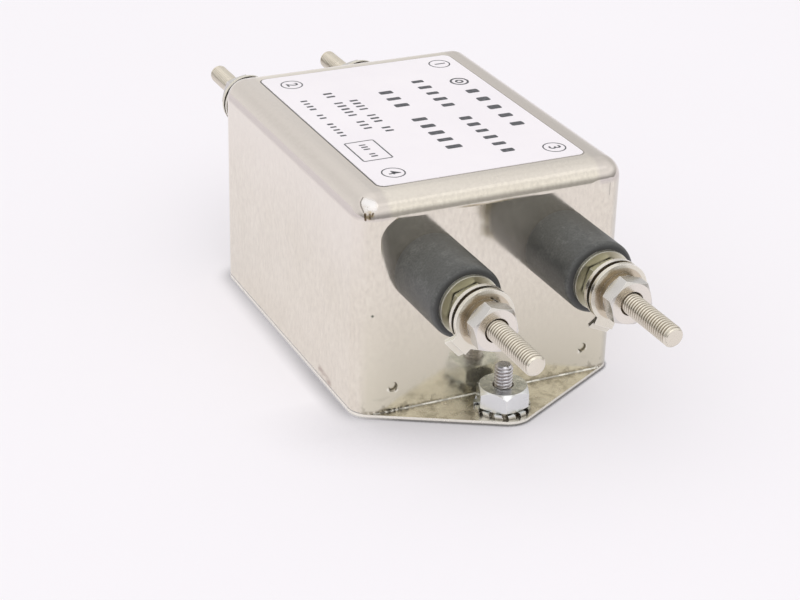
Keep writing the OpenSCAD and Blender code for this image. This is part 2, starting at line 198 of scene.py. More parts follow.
class Mat(Tree):
    """A material being built. Its colour is painted over in layers."""

    def __init__(self, name):
        self.mat = bpy.data.materials.new(name)
        self.mat.use_nodes = True
        super().__init__(self.mat.node_tree)
        self.bsdf = next(n for n in self.tree.nodes if n.type == "BSDF_PRINCIPLED")
        here = self.add("ShaderNodeTexCoord")
        self.pos, self.way = here.outputs["Object"], here.outputs["Normal"]
        self.colour = None

    def set(self, **values):
        for k, v in values.items():
            self.put(self.bsdf.inputs[k.replace("_", " ")], v)

    def paint(self, mask, colour, share=1.0):
        self.colour = self.mix(mask if share == 1.0 else self.times(mask, share), self.colour, colour)

    def axis(self, i):
        return self.part(self.pos, i)

    def facing(self, i):
        """One axis of the surface's own direction."""
        return self.part(self.way, i)

    def beyond(self, i, limit):
        """How far a place is past a limit (mm) on either side of the middle, in metres."""
        return self.most(self.math("SUBTRACT", self.size(self.axis(i)), limit * MM), 0.0)

    def stretch(self, scale):
        n = self.add("ShaderNodeMapping")
        self.put(n.inputs["Vector"], self.pos)
        n.inputs["Scale"].default_value = scale
        return n.outputs[0]

    def noise(self, scale, detail=3.0, rough=0.5, vector=None):
        n = self.add("ShaderNodeTexNoise")
        self.put(n.inputs["Vector"], vector or self.pos)
        n.inputs["Scale"].default_value = scale
        n.inputs["Detail"].default_value = detail
        n.inputs["Roughness"].default_value = rough
        return n.outputs["Fac"]

    def bump(self, height, strength, distance, normal=None):
        """Bump of a height, its distance in mm."""
        n = self.add("ShaderNodeBump")
        n.inputs["Strength"].default_value = strength
        n.inputs["Distance"].default_value = distance * MM
        self.put(n.inputs["Height"], height)
        self.put(n.inputs["Normal"], normal)
        return n.outputs[0]

    def crevice(self, reach, lo=0.45, hi=0.85):
        """1 in gaps narrower than about reach mm, 0 on open faces."""
        n = self.add("ShaderNodeAmbientOcclusion", samples=6)
        n.inputs["Distance"].default_value = reach * MM
        return self.remap(n.outputs["AO"], lo, hi, 1.0, 0.0)

    def edge_wear_and_glint(self, radius):
        """1 on sharp outer and inner edges, 0 on flats."""
        n = self.add("ShaderNodeBevel", samples=4)
        n.inputs["Radius"].default_value = radius * MM
        here = self.add("ShaderNodeNewGeometry").outputs["Normal"]
        return self.remap(self.vec("DOT_PRODUCT", n.outputs[0], here), 0.88, 0.985, 1.0, 0.0)

    def line(self, a, b, radius, soft):
        """1 inside a rod from a to b (mm), falling to 0 over soft mm."""
        a, b = Vector(a) * MM, Vector(b) * MM
        share = self.vec("DOT_PRODUCT", self.vec("SUBTRACT", self.pos, a), (b - a) / (b - a).length_squared)
        nearest = self.vec("ADD", self.scaled(b - a, self.math("ADD", share, 0.0, clamp=True)), a)
        return self.span(self.vec("DISTANCE", self.pos, nearest), radius, radius + soft, 1.0, 0.0)

    def spot(self, centre, radius, soft):
        """1 inside a ball round centre (mm), falling to 0 over soft mm."""
        away = self.vec("DISTANCE", self.pos, Vector(centre) * MM)
        return self.span(away, radius, radius + soft, 1.0, 0.0)

    def off_axis(self, node, axis, mirrored=False):
        """Distance in metres from a rod's middle line, or from it and its mirror image across x = 0."""
        lo, hi = corners(node)
        middle = (lo + hi) / 2 * MM
        off = []
        for i in (X, Y, Z):
            if i != axis:
                place = self.size(self.axis(i)) if mirrored and i == X else self.axis(i)
                off.append(self.math("SUBTRACT", place, middle[i]))
        return self.hypot(*off)


# ---------------------------------------------------------------- metals of the fasteners and the plate

def metal(name, light, dark, rough, grain=500, bump=0.15, gap_shade=(0.17, 0.14, 0.10), wear_and_glint=0.15):
    """Plated metal: fine grain, cloudy tarnish, painted shade in the gaps, and worn edges painted light as a
    highlight, wear_and_glint mm wide.
    """
    m = Mat(name)
    streak = m.noise(grain, 4, 0.6)
    cloud = m.noise(90, 4, 0.6)
    m.colour = m.mix(m.remap(cloud, 0.35, 0.75), light, dark)
    # painted shade: darker in gaps between parts, where shade falls
    m.paint(m.crevice(0.7), gap_shade)
    even = m.plus(m.remap(streak, 0.2, 0.8, rough - 0.05, rough + 0.07), m.remap(cloud, 0.4, 0.8, 0, 0.06))
    metallic = 1.0
    if wear_and_glint:
        # edges painted light: partly worn metal, partly a painted highlight
        edge = m.times(m.edge_wear_and_glint(wear_and_glint), 0.85)
        m.paint(edge, (0.97, 0.95, 0.91))
        even = m.most(even, m.times(edge, 0.6))
        metallic = m.invert(m.times(edge, 0.6))
    m.set(Metallic=metallic, Base_Color=m.colour, Roughness=even, Normal=m.bump(streak, bump, 0.02))
    return m


def nut_material():
    """Greyer flats and a warmer face."""
    m = metal("nut_nickel", (0.70, 0.685, 0.67), (0.56, 0.54, 0.52), 0.22, gap_shade=(0.28, 0.23, 0.165))
    m.paint(m.remap(m.size(m.facing(Y)), 0.85, 0.95), (0.80, 0.755, 0.69))
    m.set(Base_Color=m.colour)
    return m.mat


def tab_washer_material():
    """Nickel with a ring of tarnish round the outer spring washer."""
    m = metal("tab_nickel", (0.80, 0.77, 0.68), (0.70, 0.66, 0.56), 0.22, wear_and_glint=0.22)
    m.paint(m.span(m.off_axis("stud_1", Y, mirrored=True), 4.95, 5.15, 1.0, 0.0), (0.60, 0.53, 0.42))
    m.set(Base_Color=m.colour)
    return m.mat


def zinc_material():
    """Bright zinc, painted darker on top and on the side towards the wall, as shade."""
    m = metal("zinc_plate", (0.84, 0.855, 0.86), (0.74, 0.75, 0.76), 0.22, grain=400, bump=0.2)
    top = m.remap(m.facing(Z), 0.75, 0.85)
    back = m.remap(m.facing(Y), 0.2, 0.5)
    painted_shade = m.mix(m.remap(m.noise(700, 3, 0.6), 0.4, 0.62), (0.52, 0.545, 0.53), (0.80, 0.82, 0.80))
    # painted shade on the top and on the side that faces the wall
    m.paint(m.most(top, back), painted_shade)
    m.set(Base_Color=m.colour)
    return m.mat


def thread_material(name, light, dark, rough, groove_shade, groove, node, axis, mirrored=False, on_top=1.0):
    """Plated metal with painted shade in the thread grooves, for the rod in a node's box and its mirror
    images.

    groove holds the radii (mm) where the dark is full and where it ends. It stops at the tip's chamfer,
    and on_top is the share of it that is left where the rod faces up.
    """
    m = metal(name, light, dark, rough, bump=0.12, wear_and_glint=0, gap_shade=(0.28, 0.23, 0.17))
    mask = m.span(m.off_axis(node, axis, mirrored), *groove, 1.0, 0.0)
    mask = m.times(mask, m.remap(m.noise(420, 3, 0.7), 0.3, 0.65, 0.25, 1.0))
    if on_top < 1.0:
        mask = m.times(mask, m.remap(m.facing(Z), 0.0, 0.9, 1.0, on_top))
    chamfer = corners(node)[1][axis] - THREAD_CHAMFER
    # painted shade in the thread grooves, with on_top weaker where the rod faces up to the light
    m.paint(m.times(mask, m.span(m.size(m.axis(axis)), chamfer - 0.1, chamfer, 1.0, 0.0)), groove_shade)
    m.set(Base_Color=m.colour)
    return m.mat


def stud_material():
    return thread_material("nickel_thread", (0.80, 0.755, 0.665), (0.72, 0.67, 0.57), 0.22,
                           groove_shade=(0.24, 0.19, 0.125), groove=(1.60, 1.95),
                           node="stud_1", axis=Y, mirrored=True, on_top=0.35)


def ground_stud_material():
    return thread_material("zinc_thread", (0.84, 0.83, 0.87), (0.72, 0.71, 0.76), 0.24,
                           groove_shade=(0.58, 0.56, 0.60), groove=(1.36, 1.66), node="ground_stud", axis=Z)


def plate_material():
    """Dull mottled top and underside. The sheared edges are painted bright above, as a highlight, and darker
    below, as shade.
    """
    m = metal("plate_metal", (0.82, 0.775, 0.68), (0.66, 0.62, 0.535), 0.24, grain=300, bump=0.2, wear_and_glint=0)
    mottle = m.noise(360, 4, 0.75)
    m.paint(m.remap(mottle, 0.5, 0.62, 0, 0.5), (0.36, 0.33, 0.25))
    m.paint(m.remap(mottle, 0.46, 0.36, 0, 0.5), (0.86, 0.83, 0.74))
    # painted highlight on the upper half of the sheared edges, painted shade on the lower half except at the
    # far left
    low = m.mix(m.span(m.axis(X), -27.5, -20), (0.62, 0.61, 0.59), (0.22, 0.215, 0.20))
    sheared = m.mix(m.span(m.axis(Z), 0.30, 0.46), low, (0.84, 0.81, 0.735))
    edge = m.remap(m.size(m.facing(Z)), 0.5, 0.7, 1.0, 0.0)
    m.paint(edge, sheared)
    m.set(Base_Color=m.colour, Metallic=m.invert(m.times(edge, 0.5)))
    return m.mat


# ---------------------------------------------------------------- the can's metal

# painted shade and highlight round the near wall's dents, as strokes: x and z of one end, x and z of the
# other, radius (mm)
DENT_SHADE = (
    (-20.95, 5.55, -20.70, 5.25, 0.10),
    (-20.45, 5.15, -20.20, 5.15, 0.02),
    (-19.75, 5.30, -19.60, 5.60, 0.09),
    (-19.50, 5.80, -19.42, 6.20, 0.02),
    (-20.60, 6.00, -20.30, 5.70, 0.01),
    (20.45, 6.90, 20.72, 6.10, 0.16),
    (20.72, 6.10, 20.10, 5.35, 0.19),
)
DENT_HIGHLIGHT = (
    (-21.40, 5.70, -21.20, 5.40, 0.12),
    (-19.70, 4.85, -19.30, 5.20, 0.08),
    (19.85, 6.80, 19.60, 5.20, 0.15),
    (21.15, 6.40, 21.15, 5.70, 0.10),
)
STROKE_SOFT = 0.17
CRACK = ((-25.5, -31.5, 44.0), (-26.13, -31.92, 43.42), (-26.32, -32.55, 42.93), (-26.2, -33.5, 42.1))
STAIN = (-25.4, -34.3, 41.6)
DOT = (-24.7, -34.9, 21.6)
SCUFF = ((-CAN.x, -17.5, 2.3), (-CAN.x, -21.8, 1.7))
HAZE_SPOT = (1.5, -CAN.y, 34)


def can_plating(m, cloud):
    """Cloudy plating with freckles and a fine grain, a painted reflection that makes the end walls warmer
    and darker low down, and painted shade in low gaps.
    """
    grain = m.noise(1.0, 3, 0.7, m.stretch((1400, 1400, 700)))
    m.colour = m.mix(m.remap(cloud, 0.35, 0.75), (0.778, 0.727, 0.640), (0.738, 0.686, 0.592))
    m.paint(m.remap(m.noise(420, 3, 0.6), 0.62, 0.8, 0, 0.25), (0.6, 0.56, 0.5))
    m.paint(m.remap(grain, 0.5, 0.68, 0, 0.18), (0.46, 0.42, 0.38))
    m.paint(m.remap(grain, 0.5, 0.32, 0, 0.18), (1.0, 0.98, 0.88))
    # painted reflection: the end walls grow warmer and darker towards the bottom
    m.paint(m.times(m.span(m.height, 5, 28, 1.0, 0.0), m.end), (0.70, 0.66, 0.545))
    # painted shade in low gaps
    m.paint(m.times(m.crevice(0.5), m.span(m.height, 8, 9, 1.0, 0.0)), (0.11, 0.095, 0.07))


def can_dents(m):
    """Painted shade in the stakes' dents, and a painted highlight beside each."""
    dent_light, dark_paint = (0.97, 0.95, 0.88), (0.14, 0.125, 0.085)
    # dark strokes are painted shade, light strokes painted highlight
    for strokes, colour, share in ((DENT_HIGHLIGHT, dent_light, 0.6), (DENT_SHADE, dark_paint, 0.85)):
        rods = [m.line((x0, -CAN.y, z0), (x1, -CAN.y, z1), radius, STROKE_SOFT)
                for x0, z0, x1, z1, radius in strokes]
        m.paint(m.most(*rods), colour, share)


def can_corners(m):
    """The rounded corners on the right are painted greyer, as shade."""
    right = m.facing(X)
    upright = m.remap(m.facing(Z), 0.1, 0.3, 1.0, 0.0)
    turned = m.times(m.remap(right, 0.3, 0.6, 0, 0.4), m.remap(right, 0.85, 0.97, 1.0, 0.0))
    # painted shade on the right-hand rounded corners
    m.paint(m.times(turned, upright), (0.40, 0.40, 0.39))


def can_foot(m, tiny):
    """The foot of the side walls is painted grey as the shade of the seam. The end walls have a dashed line
    of painted shade along the seam, darkest at the near left corner, and stains low down.

    Returns where the side walls' foot is painted grey.
    """
    painted_shade = m.times(m.span(m.height, 1.1, 1.2, 1.0, 0.0), m.invert(m.end))
    m.paint(painted_shade, (0.42, 0.40, 0.37))
    # painted shade along the seam of the end walls, darker still at the near left corner; the blots are
    # stains
    seam = m.times(m.span(m.height, 1.35, 1.75, 1.0, 0.0), m.remap(tiny, 0.40, 0.52))
    blot = m.times(m.span(m.height, 1.5, 4.5, 0.6, 0.0), m.remap(m.noise(520, 3, 0.7), 0.52, 0.62))
    m.paint(m.times(m.most(m.times(seam, 0.7), blot), m.end), (0.24, 0.215, 0.16))
    m.paint(m.times(seam, m.spot((-20.0, -CAN.y, PLATE_THICK), 2.6, 1.5)), (0.08, 0.07, 0.06))
    return painted_shade


def can_folds(m):
    """Painted reflection and light: the top folds along the sides are greyer, and the side walls are lighter
    towards them.
    """
    up = m.facing(Z)
    fold = m.times(m.span(m.size(m.axis(X)), 21, 22), m.remap(up, 0.04, 0.14))
    # painted reflection: greyer side folds
    m.paint(fold, m.mix(m.remap(up, 0.15, 0.5), (0.60, 0.55, 0.53), (0.69, 0.64, 0.61)), 0.75)
    side = m.invert(m.most(fold, m.end))
    # painted light: side walls lighter towards the top
    m.paint(m.times(m.span(m.height, 24, 39, 0, 0.55), side), (0.85, 0.80, 0.745))


def can_blemish(m, tiny):
    """Near left top corner: a pressed patch painted bright as a highlight, a hairline crack, burnt spots and
    a dot lower down.

    Returns where the metal is pressed.
    """
    pressed = m.most(m.line((-25.4, -32.6, 43.5), (-24.6, -33.5, 43.3), 0.45, 0.7),
                     m.line((-25.6, -33.5, 42.6), (-24.4, -34.0, 42.7), 0.20, 0.6))
    pressed = m.times(pressed, m.remap(m.noise(650, 3, 0.7), 0.35, 0.5, 0.55, 1.0))
    # the pressed patch is painted bright, as a highlight
    m.paint(pressed, (0.83, 0.81, 0.79))
    m.paint(m.most(*(m.line(a, b, 0.07, 0.12) for a, b in zip(CRACK, CRACK[1:]))), (0.16, 0.14, 0.12), 0.75)
    burnt = m.most(m.line((-26.1, -33.85, 41.8), (-26.1, -34.1, 40.8), 0.13, 0.15),
                   m.line((-25.4, -34.4, 41.9), (-25.4, -34.5, 41.1), 0.10, 0.22),
                   m.line((-24.8, -34.5, 42.0), (-25.1, -34.6, 41.5), 0.06, 0.18))
    m.paint(burnt, (0.11, 0.07, 0.035))
    m.paint(m.times(m.spot(STAIN, 0.5, 0.5), m.remap(tiny, 0.4, 0.6)), (0.50, 0.40, 0.24))
    m.paint(m.spot(DOT, 0.12, 0.24), (0.13, 0.145, 0.11))
    return pressed


def can_label_line(m):
    """Painted shadow: a thin dark line round the label's cut edge, heaviest on the left."""
    lo, hi = corners("label")
    half = (hi - lo) / 2
    out = [m.beyond(i, half[i] - LABEL_CORNER) for i in (X, Y)]
    line = m.span(m.math("SUBTRACT", m.hypot(*out), LABEL_CORNER * MM), 0.22, 0.38, 1.0, 0.0)
    line = m.times(line, m.span(m.axis(X), -20, -18, 1.0, 0.5), m.remap(m.facing(Z), 0.8, 0.9))
    m.paint(line, (0.13, 0.12, 0.11))


def can_scuff(m):
    """A scuff low on the left side, drawn out along the edge."""
    drawn = m.remap(m.noise(1.0, 4, 0.7, m.stretch((900, 160, 900))), 0.42, 0.54)
    m.paint(m.times(m.line(*SCUFF, 0.5, 0.9), drawn), (0.42, 0.33, 0.28), 0.75)


def rolled_walls(m):
    """Normal of the end walls, which lean outward before their corners as a drawn sheet does."""
    out, up = m.beyond(X, ROLL_SIDE), m.beyond(Z, ROLL_TOP)
    inside = m.span(m.math("MINIMUM", out, up), 0.3, 1.8)
    corner = m.times(m.smooth(m.hypot(out, up), 4, 5), inside, 0.35)
    edge = m.times(m.smooth(out, 0, 4), 0.12)
    flat = m.remap(m.size(m.facing(Y)), 0.93, 0.99)
    tilt = m.add("ShaderNodeCombineXYZ")
    m.put(tilt.inputs[X], m.times(m.plus(corner, edge), m.math("SIGN", m.axis(X)), flat))
    here = m.add("ShaderNodeNewGeometry").outputs["Normal"]
    return m.vec("NORMALIZE", m.vec("ADD", here, tilt.outputs[0]))


def can_material():
    """Drawn plated sheet, painted from the plating up to the marks that lie on top."""
    m = Mat("can_metal")
    m.height = m.axis(Z)
    m.end = m.remap(m.size(m.facing(Y)), 0.6, 0.9)   # 1 on the end walls
    streak = m.noise(1.0, 4, 0.6, m.stretch((1400, 1400, 45)))
    cloud = m.noise(38, 5, 0.6)
    tiny = m.noise(1500, 3, 0.7)
    can_plating(m, cloud)
    can_dents(m)
    can_corners(m)
    painted_shade = can_foot(m, tiny)
    can_folds(m)
    pressed = can_blemish(m, tiny)
    can_label_line(m)
    can_scuff(m)
    blunt = m.times(m.span(m.height, 1, 10, 1.0, 0.0), m.end, 0.12)
    rough = m.plus(m.remap(streak, 0.25, 0.75, 0.08, 0.13), m.remap(cloud, 0.4, 0.8, 0, 0.04),
                   blunt, m.times(pressed, 0.3))
    # the plating's haze: a small share of the surface scatters
    haze = m.most(m.times(painted_shade, 0.8), m.times(pressed, 0.5), m.span(m.height, 26, 12, 0.03, 0.13),
                  m.times(m.spot(HAZE_SPOT, 4, 5), 0.12))
    grained = m.bump(streak, 0.22, 0.02, rolled_walls(m))
    m.set(Metallic=m.invert(haze), Base_Color=m.colour, Roughness=rough,
          Normal=m.bump(m.noise(22, 2, 0.5), 0.05, 0.3, grained))
    return m.mat


def lip_material():
    """The can's foot, a bead painted bright as a highlight, dirty in places and with dark speckles at the
    near left corner.
    """
    m = Mat("can_lip")
    dark_paint = m.remap(m.noise(500, 3, 0.7), 0.46, 0.58, 0, 0.6)
    near_corner = m.spot((-20.5, -CAN.y, PLATE_THICK), 2.4, 1.5)
    dark_paint = m.most(dark_paint, m.times(near_corner, m.remap(m.noise(1500, 3, 0.7), 0.42, 0.52)))
    # the bead's bright colour is a painted highlight
    m.set(Base_Color=m.mix(dark_paint, (0.92, 0.895, 0.81), (0.20, 0.18, 0.14)), Metallic=0.5, Roughness=0.3)
    return m.mat


# ---------------------------------------------------------------- other materials

def phenolic_material():
    """Dusty dark moulding, with painted shade on its end faces and in the gap behind its washer."""
    m = Mat("phenolic")
    cloud = m.noise(140, 5, 0.65)
    m.colour = m.mix(m.remap(cloud, 0.35, 0.7), (0.060, 0.062, 0.058), (0.085, 0.087, 0.081))
    m.paint(m.remap(m.noise(260, 6, 0.75), 0.50, 0.75, 0, 0.5), (0.20, 0.205, 0.19))
    m.paint(m.remap(m.noise(2600, 2, 0.6), 0.42, 0.62, 0, 0.55), (0.035, 0.036, 0.034))
    # painted shade: the end faces and the gap behind the washer
    pressed = m.times(m.crevice(1.2), m.span(m.size(m.axis(Y)), 44, 47))
    m.paint(m.most(m.remap(m.size(m.facing(Y)), 0.6, 0.9), pressed), (0.030, 0.031, 0.030))
    m.set(Base_Color=m.colour, Roughness=m.remap(cloud, 0.3, 0.7, 0.36, 0.5), Specular_IOR_Level=0.6,
          Normal=m.bump(m.noise(900, 4, 0.7), 0.35, 0.05))
    return m.mat


def paper_material():
    m = Mat("label_paper")
    colour = m.mix(m.remap(m.noise(60, 4, 0.6), 0.3, 0.7), (0.925, 0.885, 0.90), (0.89, 0.85, 0.87))
    m.set(Base_Color=colour, Roughness=0.55, Normal=m.bump(m.noise(1500, 2), 0.1, 0.01))
    return m.mat


def ink_material():
    m = Mat("label_ink")
    colour = m.mix(m.remap(m.noise(1500, 3, 0.7), 0.45, 0.8), (0.05, 0.052, 0.06), (0.16, 0.16, 0.175))
    m.set(Base_Color=colour, Roughness=0.5)
    return m.mat


def plain_material(name, light, dark, rough, metallic=0.0):
    m = Mat(name)
    cloud = m.noise(200, 4, 0.6)
    m.set(Base_Color=m.mix(m.remap(cloud, 0.3, 0.7), light, dark), Metallic=metallic,
          Roughness=m.remap(cloud, 0.3, 0.7, rough, rough + 0.12), Normal=m.bump(cloud, 0.2, 0.05))
    return m.mat


def winding_material():
    """Enamelled turns, as rings round the core's upright axis."""
    m = Mat("enamelled_turns")
    wave = m.add("ShaderNodeTexWave", wave_type="RINGS", rings_direction="Z")
    wave.inputs["Scale"].default_value = 180
    m.put(wave.inputs["Vector"], m.pos)
    turns = wave.outputs["Fac"]
    m.set(Base_Color=m.mix(turns, (0.45, 0.17, 0.06), (0.75, 0.36, 0.16)), Metallic=0.9,
          Roughness=0.3, Normal=m.bump(turns, 0.6, 0.4))
    return m.mat


def floor_shade(m):
    """The dark line of contact, and soft shade at the left and in front, where less light comes back."""
    x, y = m.axis(X), m.axis(Y)
    contact = m.times(m.crevice(0.9, 0.55, 0.8), m.span(x, -28, -20, 0.5, 0.8))
    left = m.times(m.crevice(4.5, 0.45, 1.0), m.span(x, -28, -24, 0.62, 0.0), m.span(y, 36, -15, 0.25, 1.0))
    front = m.times(m.crevice(22, 0.55, 1.0), m.span(x, -5, 22, 0.34, 0.0), m.span(y, -24, -38))
    close = m.times(m.crevice(3, 0.6, 0.99), m.span(x, -5, 15, 0.4, 0.0))
    return m.most(contact, left, front, close)


def floor_material():
    """A white backdrop to the camera and in polished faces, which keeps most of the shadow."""
    m = Mat("paper_floor")
    path = m.add("ShaderNodeLightPath")
    black = (0, 0, 0)
    open_sky = m.invert(m.times(floor_shade(m), path.outputs["Is Camera Ray"]))
    sheet = m.mix(m.remap(m.noise(9, 3, 0.5), 0.3, 0.7), (0.925, 0.895, 0.92), (0.915, 0.885, 0.91))
    m.set(Base_Color=m.mix(open_sky, black, sheet), Roughness=0.9, Specular_IOR_Level=0.1)
    white = m.add("ShaderNodeEmission")
    m.put(white.inputs["Color"], m.mix(open_sky, black, (0.965, 0.94, 0.965)))
    seen = m.times(m.most(path.outputs["Is Camera Ray"], path.outputs["Is Glossy Ray"]), 0.4)
    both = m.add("ShaderNodeMixShader")
    for socket, v in zip(both.inputs, (seen, m.bsdf.outputs[0], white.outputs[0])):
        m.put(socket, v)
    out = next(n for n in m.tree.nodes if n.type == "OUTPUT_MATERIAL")
    m.put(out.inputs["Surface"], both.outputs[0])
    return m.mat


# ---------------------------------------------------------------- mesh helpers

def add_mesh(name, verts, faces, material, smooth=True):
    """A visible piece from points in mm."""
    me = bpy.data.meshes.new(name)
    me.from_pydata([tuple(v * MM) for v in verts], [], faces)
    me.validate()
    me.update()
    for p in me.polygons:
        p.use_smooth = smooth
    ob = bpy.data.objects.new(name, me)
    bpy.context.collection.objects.link(ob)
    me.materials.append(material)
    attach(ob, "root")
    return ob


def ring_points(centre, radius, start, end, steps):
    """Points of an arc between two angles, both ends included."""
    angles = [start + (end - start) * i / steps for i in range(steps + 1)]
    return [centre + radius * Vector((math.cos(a), math.sin(a))) for a in angles]


def circle_outline(radius, sides):
    return ring_points(Vector((0, 0)), radius, 0, 2 * math.pi, sides)[:-1]


def rounded_outline(cx, cy, width, length, radius, steps):
    """A rectangle with round corners, as points in order."""
    quarter = math.pi / 2
    pts = []
    for k, (sx, sy) in enumerate(((1, 1), (-1, 1), (-1, -1), (1, -1))):
        centre = Vector((cx + sx * (width / 2 - radius), cy + sy * (length / 2 - radius)))
        pts += ring_points(centre, radius, k * quarter, (k + 1) * quarter, steps)
    return pts


class Batch:
    """Collects closed solids into one mesh, in mm."""

    def __init__(self):
        self.verts, self.faces = [], []

    def add(self, verts, faces):
        k = len(self.verts)
        self.verts += verts
        self.faces += [tuple(i + k for i in face) for face in faces]

    def prism(self, outline, z0, z1):
        """An upright prism over a flat outline."""
        n = len(outline)
        verts = [Vector((x, y, z)) for z in (z0, z1) for x, y in outline]
        sides = [(i, (i + 1) % n, n + (i + 1) % n, n + i) for i in range(n)]
        self.add(verts, [tuple(reversed(range(n))), tuple(range(n, 2 * n))] + sides)

    def band(self, outer, inner, z0, z1):
        """An upright band between two outlines with the same number of points."""
        n = len(outer)
        a, b, c, d = 0, n, 2 * n, 3 * n
        faces = []
        for i in range(n):
            j = (i + 1) % n
            faces += [(c + i, c + j, d + j, d + i), (a + i, b + i, b + j, a + j),
                      (a + i, a + j, c + j, c + i), (b + j, b + i, d + i, d + j)]
        self.add([Vector((x, y, z)) for z in (z0, z1) for line in (outer, inner) for x, y in line], faces)


# ---------------------------------------------------------------- threads

def thread_depth(z, turned):
    """Depth of the groove at a height above the thread's start, where turned is the share of a turn."""
    phase = (z / THREAD_PITCH - turned) % 1.0
    groove = min(1.0, GROOVE_STEEP * max(0.0, 1 - abs(phase - 0.5) / GROOVE_HALF))
    return THREAD_DEPTH * groove * min(1.0, z / THREAD_PITCH)


def thread_mesh(length, radius, start, sides=56, rings_per_turn=8):
    """A chamfered rod along +Z from 0 to length, threaded from start to its end."""
    heights = [0.0, BASE_STEP]
    z = start
    while z < length:
        heights.append(z)
        z += THREAD_PITCH / rings_per_turn
    heights.append(length)
    verts, faces = [], []
    for z in heights:
        for i in range(sides):
            a = 2 * math.pi * i / sides
            r = radius - (thread_depth(z - start, i / sides) if z > start else 0)
            r = min(r, radius - THREAD_CHAMFER + (length - z))
            verts.append(Vector((r * math.cos(a), r * math.sin(a), z)))
    for k in range(len(heights) - 1):
        low, high = k * sides, (k + 1) * sides
        for i in range(sides):
            j = (i + 1) % sides
            faces.append((low + i, low + j, high + j, high + i))
    faces.append(tuple(reversed(range(sides))))
    top = (len(heights) - 1) * sides
    faces.append(tuple(top + i for i in range(sides)))
    return verts, faces


def add_thread(name, node, axis, sign, start, radius, material, turn=0.0, head=None):
    """The rod of a plain stud with its thread cut, in the node's own box."""
    lo, hi = corners(node)
    base = (lo + hi) / 2
    base[axis] = lo[axis] if sign > 0 else hi[axis]
    along = Vector((0, 0, 0))
    along[axis] = sign
    rod = Batch()
    rod.add(*thread_mesh((hi - lo)[axis], radius, start))
    if head:
        head_radius, head_height = head
        rod.prism(circle_outline(head_radius, HEAD_SIDES), 0, head_height)
    place = Matrix.Translation(base) @ along.to_track_quat("Z", "Y").to_matrix().to_4x4()
    place = place @ Matrix.Rotation(turn, 4, "Z")
    ob = add_mesh(name, [place @ v for v in rod.verts], rod.faces, material)
    for p in ob.data.polygons:
        p.use_smooth = len(p.vertices) == 4      # the ends stay flat
    return ob


def add_threads():
    stud = stud_material()
    for n in range(1, 5):
        sign = 1 if n < 3 else -1
        ob = add_thread("threaded_stud_%d" % n, "stud_%d" % n, Y, sign, STUD_THREAD_FROM, STUD_RADIUS,
                        stud, turn=n)
        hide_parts("stud_%d" % n)
    ob = add_thread("threaded_ground_stud", "ground_stud", Z, 1, GROUND_THREAD_FROM, GROUND_RADIUS,
                    ground_stud_material(), head=GROUND_HEAD)
    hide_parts("ground_stud")


# ---------------------------------------------------------------- label

# plain bars in groups: place across the label, start and end along it, height (mm), bars in each group
BAR_ROWS = (
    (16.5, 10.4, -13.6, 3.0, (5,)),
    (8.4, 18.7, -24.4, 2.9, (5, 6)),
    (-0.3, 15.4, -19.2, 3.3, (3, 5)),
    (-8.2, 12.6, -6.2, 1.9, (4, 3, 2)),
    (-11.6, 18.0, -3.6, 1.9, (2, 5, 3)),
    (-17.6, 15.8, -5.4, 1.4, (4, 2, 5)),
    (-16.2, -9.8, -16.6, 1.4, (3, 2)),
)
GROUP_GAP = 1.2                     # in bars
BAR_SEED = 7                        # for the bars' slightly uneven sizes
# drawn rings: middle across and along, width, length, corner radius and line width (mm)
RINGS = (
    (-16.2, -13.2, 6.2, 9.6, 0.5, 0.28),
    (16.5, 14.0, 4.0, 4.0, 2.0, 0.45),
    (16.5, 14.0, 1.8, 1.8, 0.9, 0.45),
)
TERMINAL_RING = (4.6, 4.6, 2.3, 0.26)
TERMINALS = {"1": (17.3, 25.0), "2": (-16.3, 24.6), "3": (17.3, -24.7), "4": (-16.3, -24.6)}
DIGIT_SIZE, DIGIT_BOLD = 3.4, 0.04


def add_bars(marks, draw, low, high, x, start, end, height, groups):
    """A row of plain bars along the label's length."""
    cell = (start - end) / (sum(groups) + GROUP_GAP * (len(groups) - 1))
    y = start
    for count in groups:
        for _ in range(count):
            thick = cell * draw.uniform(0.36, 0.46)
            tall = height * draw.uniform(0.86, 1.0)
            marks.prism(rounded_outline(x, y - cell / 2, tall, thick, thick * 0.2, 2), low, high)
            y -= cell
        y -= GROUP_GAP * cell


def add_ring(marks, low, high, cx, cy, width, length, radius, line):
    outer = rounded_outline(cx, cy, width, length, radius, CORNER_STEPS)
    inner = rounded_outline(cx, cy, width - 2 * line, length - 2 * line, radius - line, CORNER_STEPS)
    marks.band(outer, inner, low, high)


def add_digit(digit, cx, cy, z, ink):
    curve = bpy.data.curves.new("digit_" + digit, "FONT")
    curve.body = digit
    curve.size = DIGIT_SIZE * MM
    curve.align_x = "CENTER"
    curve.align_y = "CENTER"
    curve.offset = DIGIT_BOLD * MM
    draft = bpy.data.objects.new("digit_draft_" + digit, curve)
    bpy.context.collection.objects.link(draft)
    bpy.context.view_layer.update()
    me = bpy.data.meshes.new_from_object(draft)
    bpy.data.objects.remove(draft)
    place = Matrix.Translation(Vector((cx, cy, z)) * MM) @ Matrix.Rotation(-math.pi / 2, 4, "Z")
    me.transform(place)
    ob = bpy.data.objects.new("digit_" + digit, me)
    bpy.context.collection.objects.link(ob)
    me.materials.clear()
    me.materials.append(ink)
    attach(ob, "root")


